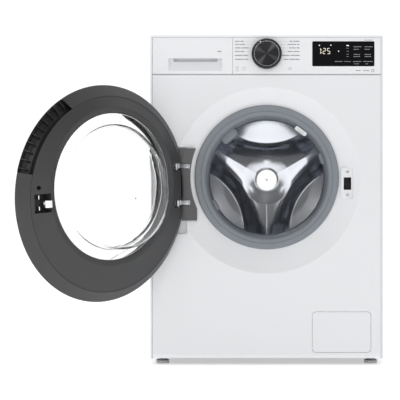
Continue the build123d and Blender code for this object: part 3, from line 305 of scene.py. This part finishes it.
# Mesh building
def piece(name, verts, faces, look, body, smooth=False):
    """A new visible piece that rides on a CAD body."""
    mesh = bpy.data.meshes.new(name)
    mesh.from_pydata([tuple(v) for v in verts], [], faces)
    mesh.validate()
    work = bmesh.new()
    work.from_mesh(mesh)
    bmesh.ops.recalc_face_normals(work, faces=work.faces)
    work.to_mesh(mesh)
    work.free()
    mesh.materials.append(look)
    if smooth:
        mesh.polygons.foreach_set("use_smooth", [True] * len(mesh.polygons))
    made = bpy.data.objects.new(name, mesh)
    bpy.context.scene.collection.objects.link(made)
    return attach(made, body)


def thicken(made, thickness, offset=-1.0):
    """Turns a surface into a sheet of the given thickness in millimetres."""
    sheet = made.modifiers.new("sheet", "SOLIDIFY")
    sheet.thickness = thickness * MM
    sheet.offset = offset


def circle_bands(circles, steps, first=0, closed=False):
    """Faces between neighbouring circles of vertices; closed joins the last circle to the first."""
    faces = []
    for j in range(circles if closed else circles - 1):
        a = first + j * steps
        b = first + (j + 1) % circles * steps
        faces += [[a + i, a + (i + 1) % steps, b + (i + 1) % steps, b + i] for i in range(steps)]
    return faces


def ring(name, place, radii, depth, look, body, arc=(0.0, 360.0), steps=96):
    """A flat ring, or an arc of one in degrees, whose front face is at place."""
    x, y, z = place
    inner, outer = radii
    start, end = arc
    whole = end - start >= 360.0
    sections = steps if whole else steps + 1
    corners = ((inner, y), (outer, y), (outer, y + depth), (inner, y + depth))
    verts, faces = [], []
    for i in range(sections):
        a = math.radians(start + (end - start) * i / steps)
        verts += [(x + radius * math.sin(a), yy, z + radius * math.cos(a)) for radius, yy in corners]
    for i in range(steps):
        a, b = 4 * i, 4 * ((i + 1) % sections)
        for j in range(4):
            k = (j + 1) % 4
            faces.append([a + j, a + k, b + k, b + j])
    if not whole:
        last = 4 * (sections - 1)
        faces += [[3, 2, 1, 0], [last, last + 1, last + 2, last + 3]]
    return piece(name, verts, faces, look, body)


# How far printed marks stand before and behind the surface that they are on, in metres
PRINT = 0.00012


def mark_block(verts, faces, mark, surface):
    """Adds one small upright block, (x, z, width, height) in millimetres, to a growing mesh."""
    x, z, width, height = (value * MM for value in mark)
    base = len(verts)
    for y in (surface - PRINT, surface + PRINT):
        for sx, sz in ((-1, -1), (1, -1), (1, 1), (-1, 1)):
            verts.append((x + sx * width / 2, y, z + sz * height / 2))
    sides = [(i, (i + 1) % 4, (i + 1) % 4 + 4, i + 4) for i in range(4)]
    for face in [(0, 3, 2, 1), (4, 5, 6, 7)] + sides:
        faces.append([base + i for i in face])


def marks(name, blocks, look, surface):
    """Flat marks printed on a front-facing surface, from (x, z, width, height) in millimetres."""
    verts, faces = [], []
    for mark in blocks:
        mark_block(verts, faces, mark, surface)
    return piece(name, verts, faces, look, "cabinet")


def mark_row(x, z, count, pitch, width, height):
    """A row of equal marks that starts with one whose middle is at x."""
    return [(x + i * pitch, z, width, height) for i in range(count)]


# Programme names as dashes, in millimetres: the height of each row, and the lengths of the words on
# it that start at the left edge and of those that end at the right edge
PROGRAMMES = (
    (834.6, (12, 8), (7, 17)),
    (826.6, (9, 15), (22, 7)),
    (817.6, (14, 19), (17, 8)),
    (808.4, (12, 10), (14, 15)),
    (798.3, (20, 11), (20, 24)),
    (788.2, (23, 9), (12, 27)),
)
WORDS_LEFT_EDGE = -81.6
WORDS_RIGHT_EDGE = 84.7
DASH_LENGTH = 2.4
DASH_HEIGHT = 2.3
DASH_GAP = 0.9
WORD_GAP = 2.0

# Leader lines run from a row's last word to a circle round the dial
LEADER_CIRCLE_R = 42.5
LEADER_HEIGHT = 0.45
LEADER_GAP = 1
SHORTEST_LEADER = 3

# Short words on the fascia: x and z of the first dash, how many, their pitch, width and height
SHORT_WORDS = (
    (231, 759.4, 4, 3.1, 2.1, 2.0),
    (250, 759.4, 5, 3.1, 2.1, 2.0),
    (252, 837.6, 7, 3.2, 2.2, 1.8),
    (-125, 808.5, 3, 3.3, 2.4, 2.6),
)

# The bars of the signs on the keys: x, z, width and height
KEY_BARS = (
    (58.0, 764.2, 1.5, 7.5), (62.6, 764.2, 1.5, 7.5), (-76.0, 766.5, 1.0, 5.0),
    (-76.0, 758.6, 9.0, 1.0), (-58.6, 768.0, 1.0, 3.8),
)


def word_dashes(x, z, length, way):
    """A word's dashes from x to the right (way 1) or to the left (way -1)."""
    count = max(2, round(length / (DASH_LENGTH + DASH_GAP)))
    pitch = length / count
    return mark_row(x + way * pitch / 2, z, count, way * pitch, pitch - DASH_GAP, DASH_HEIGHT)


def programme_row(z, lefts, rights):
    """One row's dashes and the leader lines from them to the dial."""
    words, leaders = [], []
    reach = math.sqrt(max(LEADER_CIRCLE_R ** 2 - (z - KNOB_Z / MM) ** 2, 0))
    for way, x, lengths in ((1, WORDS_LEFT_EDGE, lefts), (-1, WORDS_RIGHT_EDGE, rights[::-1])):
        for length in lengths:
            words += word_dashes(x, z, length, way)
            x += way * (length + WORD_GAP)
        room = -way * x - reach
        if room > SHORTEST_LEADER:
            leaders.append(((x - way * reach) / 2, z, room - LEADER_GAP, LEADER_HEIGHT))
    return words, leaders


def control_marks():
    """Dashes in place of the programme names, with leader lines to the dial, and the key signs."""
    ink = moulded("print_grey", (0.10, 0.10, 0.11), 0.5, 900.0, 0.000004)
    pale_ink = moulded("print_pale", (0.40, 0.40, 0.42), 0.5, 900.0, 0.000004)
    words, leaders = [], []
    for z, lefts, rights in PROGRAMMES:
        row_words, row_leaders = programme_row(z, lefts, rights)
        words += row_words
        leaders += row_leaders
    for short_word in SHORT_WORDS:
        words += mark_row(*short_word)
    marks("programme_words", words, ink, FRONT)
    marks("leader_lines", leaders, pale_ink, FRONT)
    marks("key_symbols", KEY_BARS, pale_ink, FRONT)
    top = FRONT - PRINT
    ring("start_key_ring", (-0.0586, top, 0.7642), (0.0036, 0.0045), 2 * PRINT, pale_ink, "cabinet",
         arc=(25, 335), steps=48)
    ring("lock_key_ring", (-0.0760, top, 0.7660), (0.0030, 0.0037), 2 * PRINT, pale_ink, "cabinet")
    ring("fascia_ring_mark", (0.2735, top, 0.7594), (0.0029, 0.0039), 2 * PRINT, ink, "cabinet")


# Display, in millimetres: the digits of the time with the bars that are lit in each, then marks as
# x, z, width and height
DIGITS = ((135.5, "bc"), (148.2, "abged"), (159.4, "afgcd"))
DIGIT_Z = 809.5
DIGIT_WIDTH = 7.6
DIGIT_HEIGHT = 15.0
DIGIT_BAR = 1.25
COLON = [(141.3, 813.0, 1.5, 1.7), (141.3, 805.8, 1.5, 1.7)]
LAMPS = [
    (135.7, 824.2, 2.4, 2.6), (165.3, 824.7, 2.6, 2.4),
    (185.1, 809.1, 2.4, 2.6), (208.6, 823.7, 6.4, 2.2),
]

# Dim labels: where a column starts and its length, and the rows with the share of it that they fill
LABEL_COLUMNS = ((223.5, 20.6), (251.8, 20.6))
LABEL_ROWS = ((820.6, 1.0), (814.0, 0.72), (800.8, 0.85), (795.4, 0.9))
LEVEL_LABELS = [(208.3, z, 5.6, 1.0) for z in (816.8, 809.1, 801.4, 795.4)]
KEY_LABELS = ((175.3, 20.4), (199.6, 16.4), (222.2, 21.9), (248.7, 24.3))
KEY_LABELS_Z = 782.6
SECOND_LINES = ((226.0, 776.6, 4, 3.4, 2.5, 1.5), (256.0, 776.6, 2, 3.4, 2.5, 1.5))
LETTERS = 6
LETTER_GAP = 0.9
LETTER_HEIGHT = 1.7


def digit_bars(x, lit):
    """The lit bars of one seven-segment digit, named a to g."""
    z, bar = DIGIT_Z, DIGIT_BAR
    side, end = DIGIT_WIDTH / 2 - bar / 2, DIGIT_HEIGHT / 2 - bar / 2
    quarter, tall = DIGIT_HEIGHT / 4, DIGIT_HEIGHT / 2 - bar
    wide = DIGIT_WIDTH - 2 * bar
    bars = {
        "a": (x, z + end, wide, bar),
        "b": (x + side, z + quarter, bar, tall),
        "c": (x + side, z - quarter, bar, tall),
        "d": (x, z - end, wide, bar),
        "e": (x - side, z - quarter, bar, tall),
        "f": (x - side, z + quarter, bar, tall),
        "g": (x, z, wide, bar),
    }
    return [bars[name] for name in lit]


def label(x, z, length, share=1.0):
    """A label's letters as small blocks, or a share of them."""
    pitch = length / LETTERS
    return mark_row(x + pitch / 2, z, round(LETTERS * share), pitch, pitch - LETTER_GAP, LETTER_HEIGHT)


def display_marks():
    """The lit time, lamps and dim labels on the display window."""
    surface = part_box("display_window")[0].y
    warm = glowing("segment_glow", (1.0, 0.93, 0.74), 0.85)
    white = glowing("lamp_glow", (1.0, 1.0, 1.0), 0.9)
    dim = glowing("dim_label", (0.75, 0.78, 0.82), 0.09)
    time = [bar for x, lit in DIGITS for bar in digit_bars(x, lit)] + COLON
    marks("time_segments", time, warm, surface)
    marks("display_lamps", LAMPS, white, surface)
    labels = list(LEVEL_LABELS)
    for x, length in LABEL_COLUMNS:
        for z, share in LABEL_ROWS:
            labels += label(x, z, length, share)
    for x, length in KEY_LABELS:
        labels += label(x, KEY_LABELS_Z, length)
    for line in SECOND_LINES:
        labels += mark_row(*line)
    marks("display_labels", labels, dim, surface)


# Knob, in metres. Its ring and its pointer stand a little in front of the rim. A ring with almost no
# hole is a disc.
NO_HOLE = 0.00001
KNOB_FACE_R = 0.0312
KNOB_FACE_SINK = 0.0007
KNOB_FACE_CROWN = 0.0006
KNOB_RING_RADII = (0.0314, 0.0323)
KNOB_RING_PROUD = 0.0002
KNOB_RING_DEPTH = 0.0008
POINTER_ANGLE = math.radians(-28.6)
POINTER_REACH = 0.0349
POINTER_R = 0.0012
POINTER_PROUD = 0.00015
POINTER_DEPTH = 0.0006


def knob_face(rim_y):
    """The spun face: a disc that is dished back a little towards its edge."""
    # The second colour is the brightest painted highlight of the spun face
    spun = spun_metal_with_painted_glints("spun_face_painted_glints", (0.01, 0.01, 0.012), (0.09, 0.09, 0.10), (0.0, 0.0, KNOB_Z))
    steps, circles = 128, 14
    middle = rim_y + KNOB_FACE_SINK
    verts = [(0, middle, KNOB_Z)]
    for j in range(1, circles + 1):
        radius = KNOB_FACE_R * j / circles
        y = middle + KNOB_FACE_CROWN * (j / circles) ** 2
        for i in range(steps):
            a = 2 * math.pi * i / steps
            verts.append((radius * math.sin(a), y, KNOB_Z + radius * math.cos(a)))
    faces = [[0, 1 + (i + 1) % steps, 1 + i] for i in range(steps)]
    faces += circle_bands(circles, steps, first=1)
    piece("knob_face", verts, faces, spun, "knob", smooth=True)


def knob_details():
    """The spun face of the knob with its thin bright ring, and a white pointer that is no lamp but is given a
    painted glow.
    """
    rim_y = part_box("knob")[0].y
    knob_face(rim_y)
    bright = metal("knob_ring_metal", (0.55, 0.56, 0.58), 0.25)
    place = (0.0, rim_y - KNOB_RING_PROUD, KNOB_Z)
    ring("knob_ring", place, KNOB_RING_RADII, KNOB_RING_DEPTH, bright, "knob", steps=160)
    x = POINTER_REACH * math.sin(POINTER_ANGLE)
    z = KNOB_Z + POINTER_REACH * math.cos(POINTER_ANGLE)
    # The white pointer is no lamp: its glow is painted light
    lamp = glowing("pointer_painted_glow", (1.0, 1.0, 1.0), 0.8)
    place = (x, rim_y - POINTER_PROUD, z)
    ring("knob_pointer", place, (NO_HOLE, POINTER_R), POINTER_DEPTH, lamp, "knob", steps=24)


# Round pieces of the drum and the door
def catmull_rom(p, q, r, s, t):
    """The value a share t of the way from q to r, on a curve through all four."""
    square, cube = 2 * p - 5 * q + 4 * r - s, 3 * q - p - 3 * r + s
    return 0.5 * (2 * q + (r - p) * t + square * t * t + cube * t ** 3)


def smooth_through(points, parts=6):
    """Points on a smooth curve that passes through the given points."""
    ends = [points[0]] + list(points) + [points[-1]]
    curve = []
    for a, b, c, d in zip(ends, ends[1:], ends[2:], ends[3:]):
        for i in range(parts):
            curve.append(tuple(catmull_rom(p, q, r, s, i / parts) for p, q, r, s in zip(a, b, c, d)))
    return curve + [points[-1]]


def skin(name, circles, look, body, place=None, steps=192):
    """A closed smooth skin over circles given as (radius, z, depth) in millimetres."""
    verts = []
    for radius, z, depth in circles:
        for i in range(steps):
            a = 2 * math.pi * i / steps
            across, up = radius * math.cos(a) * MM, (z + radius * math.sin(a)) * MM
            point = Vector((across, FRONT + depth * MM, up))
            verts.append(place @ point if place else point)
    faces = circle_bands(len(circles), steps, closed=True)
    return piece(name, verts, faces, look, body, smooth=True)


# The glass bowl with the door shut, as (radius, z, depth) in millimetres. Its rim is round the
# drum's axis and its bottom lies lower, so the bowl slants downwards.
BOWL_Z = DRUM_Z / MM
BOWL_FLANGE = (
    (147.6, BOWL_Z, 2.0), (150, BOWL_Z, 1.5), (174.8, BOWL_Z, 1.5),
    (175.6, BOWL_Z, 2.3), (175.6, BOWL_Z, 4.8), (174.4, BOWL_Z, 5.8),
)
BOWL_OUTSIDE = (
    (165, BOWL_Z, 7.0), (156, 484.9, 9.5), (150.8, 484.4, 13), (146.2, 482.4, 24), (137.6, 475, 44),
    (126, 467.6, 62), (116, 464.4, 71.5), (104, 462.6, 78), (90, 461.4, 81.4), (62, 461, 82.4),
    (0.05, 461, 83),
)
BOWL_INSIDE = (
    (0.05, 461, 79), (60, 461, 78.4), (86, 461.4, 77.4), (100, 462.6, 74.2), (112, 464.4, 68),
    (122, 467.6, 59.4), (133.6, 475, 43), (142.2, 482.4, 23.2), (146.4, 484.4, 11), (147.4, BOWL_Z, 4),
)


def door_opening():
    """The turn that takes a point of the closed door to the open one."""
    hinge = next(joint for joint in frame["joints"] if joint["name"] == "door_hinge")
    point = Vector(hinge["pos_m"])
    turn = Matrix.Rotation(-math.radians(hinge["range_deg"][1]), 4, Vector(hinge["axis"]))
    return Matrix.Translation(point) @ turn @ Matrix.Translation(-point)


def glass_bowl():
    """The pressed glass bowl with rounded shoulders and a flange."""
    circles = list(BOWL_FLANGE) + smooth_through(BOWL_OUTSIDE) + smooth_through(BOWL_INSIDE)
    bowl = skin("glass_bowl", circles, LOOKS["clear_glass"], "door", door_opening())
    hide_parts("door_glass")


# The drum's pressed back, in millimetres: three pockets round the middle leave three arms. The
# slope is radius and depth; the crown rises over CROWN_REACH from the pocket's edge.
BACK_INNER_R = 30.0
BACK_OUTER_R = 243.6
BACK_SHEET = 1.2
BACK_SLOPE = ((0, 401.0), (36, 400.5), (70, 396.5), (130, 394.0), (250, 392.0))
POCKET_ANGLES = (0, 2 * math.pi / 3, 4 * math.pi / 3)
POCKET_CENTRE = 310.0
POCKET_R = 242.0
POCKET_DEPTH = 25.0
POCKET_FLOOR_RISE = 0.05
WALL_WIDTH = 40.0
CROWN_HEIGHT = 4.5
CROWN_REACH = 22


def ease(t):
    """A smooth step from 0 to 1."""
    t = min(1.0, max(0.0, t))
    return t * t * (3 - 2 * t)


def back_slope(radius):
    """Depth of the back at a radius, before its pockets and crowns."""
    for (r0, d0), (r1, d1) in zip(BACK_SLOPE, BACK_SLOPE[1:]):
        if r0 <= radius <= r1:
            depth = d0 + (d1 - d0) * (radius - r0) / (r1 - r0)
    return depth


def back_depth(x, z):
    """Depth of the drum's pressed back at a place relative to its middle."""
    edge = min(
        math.hypot(x - POCKET_CENTRE * math.sin(a), z - POCKET_CENTRE * math.cos(a)) - POCKET_R
        for a in POCKET_ANGLES)
    crown = CROWN_HEIGHT * (1 - math.exp(-max(0.0, edge) / CROWN_REACH)) - CROWN_HEIGHT
    pocket = POCKET_DEPTH * ease(-edge / WALL_WIDTH)
    floor = POCKET_FLOOR_RISE * max(0.0, -edge - WALL_WIDTH)
    return back_slope(math.hypot(x, z)) - crown + pocket - floor


def drum_pressing():
    """The polished back of the drum: three crowned arms between three rounded pockets."""
    rows, steps = 90, 420
    verts, faces = [], []
    for j in range(rows + 1):
        radius = BACK_INNER_R + (BACK_OUTER_R - BACK_INNER_R) * j / rows
        for i in range(steps):
            a = 2 * math.pi * i / steps
            x, z = radius * math.sin(a), radius * math.cos(a)
            verts.append((x * MM, FRONT + back_depth(x, z) * MM, DRUM_Z + z * MM))
    for j in range(rows):
        a, b = j * steps, (j + 1) * steps
        faces += [[a + i, b + i, b + (i + 1) % steps, a + (i + 1) % steps] for i in range(steps)]
    pressing = piece("drum_pressing", verts, faces, LOOKS["polished_steel"], "drum", smooth=True)
    thicken(pressing, BACK_SHEET)
    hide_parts("drum_back")


# The hub cap: its rounded front as (radius, depth), then its flat back, in millimetres
CAP_FRONT = ((0.05, 394.8), (20, 394.8), (31, 394.8), (33.2, 395.6), (34, 397.5), (34, 399.6))
CAP_BACK = ((34, 400.8), (0.05, 400.8))

# The mark in the middle of the cap, in metres
CAP_MARK_R = 0.0018
CAP_MARK_FRONT = 0.3946
CAP_MARK_DEPTH = 0.0004


def hub_disc():
    """The bright cap in the middle of the drum with its small centre mark."""
    chrome = metal("cap_chrome", (0.88, 0.88, 0.89), 0.1, brush_depth=0.0000005, spread=0.01)
    profile = smooth_through(CAP_FRONT, 5) + list(CAP_BACK)
    cap = skin("hub_disc", [(radius, DRUM_Z / MM, depth) for radius, depth in profile], chrome, "drum")
    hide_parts("hub_cap")
    mark = moulded("cap_mark", (0.25, 0.25, 0.27), 0.5, 900.0, 0.000004)
    place = (0.0, FRONT + CAP_MARK_FRONT, DRUM_Z)
    ring("hub_mark", place, (NO_HOLE, CAP_MARK_R), CAP_MARK_DEPTH, mark, "drum", steps=32)


# The perforated side of the drum, in millimetres. Each hole is in the middle of a square cell, and
# the cell's corners are given in half cells.
HOLE_R = 2.2
HOLE_ROWS = 14
HOLE_COLUMNS = 72
CELL_CORNERS = ((-1, -1), (0, -1), (1, -1), (1, 0), (1, 1), (0, 1), (-1, 1), (-1, 0))
FIRST_CORNER = -3
SHELL_SHEET = 1.0
SHELL_SIDE_INSET = 0.6
SHELL_END_INSET = 0.5


def shell_holes():
    """The side of the drum as a thin sheet with a field of round holes."""
    low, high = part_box("drum_shell")
    radius = (high.x - low.x) / 2 - SHELL_SIDE_INSET * MM
    front, back = low.y + SHELL_END_INSET * MM, high.y - SHELL_END_INSET * MM
    pitch = (back - front) / HOLE_ROWS
    turn = 2 * math.pi / HOLE_COLUMNS
    corners = len(CELL_CORNERS)
    verts, faces, known = [], [], {}

    def vertex(angle, y):
        """The number of the vertex at this place, which is added if it is new."""
        key = (round(math.degrees(angle) * 1000) % 360000, round(y * 1e6))
        if key not in known:
            known[key] = len(verts)
            verts.append((radius * math.sin(angle), y, DRUM_Z + radius * math.cos(angle)))
        return known[key]

    for row in range(HOLE_ROWS):
        for column in range(HOLE_COLUMNS):
            angle, y = column * turn, front + (row + 0.5) * pitch
            cell = [vertex(angle + sx * turn / 2, y + sy * pitch / 2) for sx, sy in CELL_CORNERS]
            hole = []
            for k in range(corners):
                a = 2 * math.pi * (k + FIRST_CORNER) / corners
                hole.append(vertex(angle + HOLE_R * MM * math.cos(a) / radius, y + HOLE_R * MM * math.sin(a)))
            for k in range(corners):
                n = (k + 1) % corners
                faces.append([cell[k], cell[n], hole[n], hole[k]])
    shell = piece("perforated_shell", verts, faces, LOOKS["polished_steel"], "drum", smooth=True)
    thicken(shell, SHELL_SHEET, offset=0.0)
    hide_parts("drum_shell")


# Stage, in metres: where the camera stands
CAMERA_DISTANCE = 3.0
CAMERA_HEIGHT = 0.4285

# The world's strength where it is bright, and in front of the machine, where it is darker for the
# light on rough surfaces and darker still for what polished surfaces mirror. WORLD_TURN is where a
# direction's Y turns from the front part of the world to the bright part.
BRIGHT_WORLD = 1.08
LIT_WORLD = 0.42
MIRRORED_WORLD = 0.14
WORLD_TURN = (-0.15, 0.25)
FLOOR_REACH = 20.0

# Soft boxes: name, place, target, size in metres and power in watts
SOFT_BOXES = (
    ("left_soft_box", (-2.6, -3.4, 2.0), (0, -0.2, 0.5), (1.2, 2.4), 12),
    ("right_soft_box", (2.6, -3.6, 1.6), (0, -0.2, 0.45), (1.0, 2.4), 7),
    ("top_soft_box", (-0.2, -1.0, 3.2), (0, 0, 0.4), (2.6, 2.0), 7),
    ("front_soft_box", (-0.5, -3.5, 1.95), (0, 0.1, 0.45), (1.3, 0.8), 17),
    ("camera_card", (0, -4.5, 0.56), (0, 0, 0.5), (0.36, 0.36), 0.5),
)


def place_in_scene(name, data):
    """A new object of the scene that isn't part of the machine."""
    made = bpy.data.objects.new(name, data)
    bpy.context.scene.collection.objects.link(made)
    return made


def camera():
    """A long lens level with the drum, shifted so that the door is in the picture."""
    data = bpy.data.cameras.new("camera")
    data.sensor_width = 36.0
    data.lens = 104.85
    data.shift_x = -0.16675
    data.shift_y = -0.0025
    data.clip_start = 0.05
    data.clip_end = 60.0
    cam = place_in_scene("camera", data)
    cam.location = (0.0, FRONT - CAMERA_DISTANCE, CAMERA_HEIGHT)
    cam.rotation_euler = (math.radians(90), 0, 0)
    bpy.context.scene.camera = cam


def soft_box(name, place, target, size, power):
    """A rectangular lamp that faces its target."""
    data = bpy.data.lights.new(name, "AREA")
    data.shape = "RECTANGLE"
    data.size, data.size_y = size
    data.energy = power
    lamp = place_in_scene(name, data)
    lamp.location = place
    lamp.rotation_euler = (Vector(target) - Vector(place)).to_track_quat("-Z", "Y").to_euler()


def world_light():
    """A white surround behind the machine and a darker room in front of it."""
    world = bpy.data.worlds.new("studio")
    bpy.context.scene.world = world
    world.use_nodes = True
    tree = world.node_tree
    background = tree.nodes["Background"]
    coords = add(tree, "ShaderNodeTexCoord")
    split = add(tree, "ShaderNodeSeparateXYZ")
    tree.links.new(coords.outputs["Generated"], split.inputs[0])
    lit = ramp(tree, split.outputs["Y"], LIT_WORLD, BRIGHT_WORLD, *WORLD_TURN)
    mirrored = ramp(tree, split.outputs["Y"], MIRRORED_WORLD, BRIGHT_WORLD, *WORLD_TURN)
    path = add(tree, "ShaderNodeLightPath")
    unseen = add(tree, "ShaderNodeMix")
    tree.links.new(path.outputs["Is Glossy Ray"], unseen.inputs[MIX_FACTOR])
    for socket, strength in zip(MIX_NUMBERS, (lit, mirrored)):
        tree.links.new(strength, unseen.inputs[socket])
    strength = add(tree, "ShaderNodeMix")
    tree.links.new(path.outputs["Is Camera Ray"], strength.inputs[MIX_FACTOR])
    tree.links.new(unseen.outputs[0], strength.inputs[MIX_NUMBERS[0]])
    strength.inputs[MIX_NUMBERS[1]].default_value = BRIGHT_WORLD
    tree.links.new(strength.outputs[0], background.inputs["Strength"])
    background.inputs["Color"].default_value = (1.0, 1.0, 1.0, 1)


def white_floor():
    """A wide white floor that glows a little, so that it fades into the surround."""
    mat, tree, shader = material("floor_white")
    tone = noise(tree, object_coords(tree), scale=1.5)
    white = blend_colours(tree, tone, (0.86, 0.86, 0.86), (0.88, 0.88, 0.88))
    tree.links.new(white, shader.inputs["Base Color"])
    set_inputs(shader, {"Roughness": 0.8, "Emission Color": (1, 1, 1, 1), "Emission Strength": 0.5})
    mesh = bpy.data.meshes.new("floor")
    corners = [(sx * FLOOR_REACH, sy * FLOOR_REACH, 0) for sx, sy in ((-1, -1), (1, -1), (1, 1), (-1, 1))]
    mesh.from_pydata(corners, [], [(0, 1, 2, 3)])
    mesh.materials.append(mat)
    floor = place_in_scene("floor", mesh)


def studio():
    """The surround, the soft boxes, the floor and the plain view of the colours."""
    world_light()
    for box in SOFT_BOXES:
        soft_box(*box)
    white_floor()
    bpy.context.scene.view_settings.view_transform = "Standard"


dress_frame()
control_marks()
display_marks()
knob_details()
glass_bowl()
drum_pressing()
hub_disc()
shell_holes()
camera()
studio()
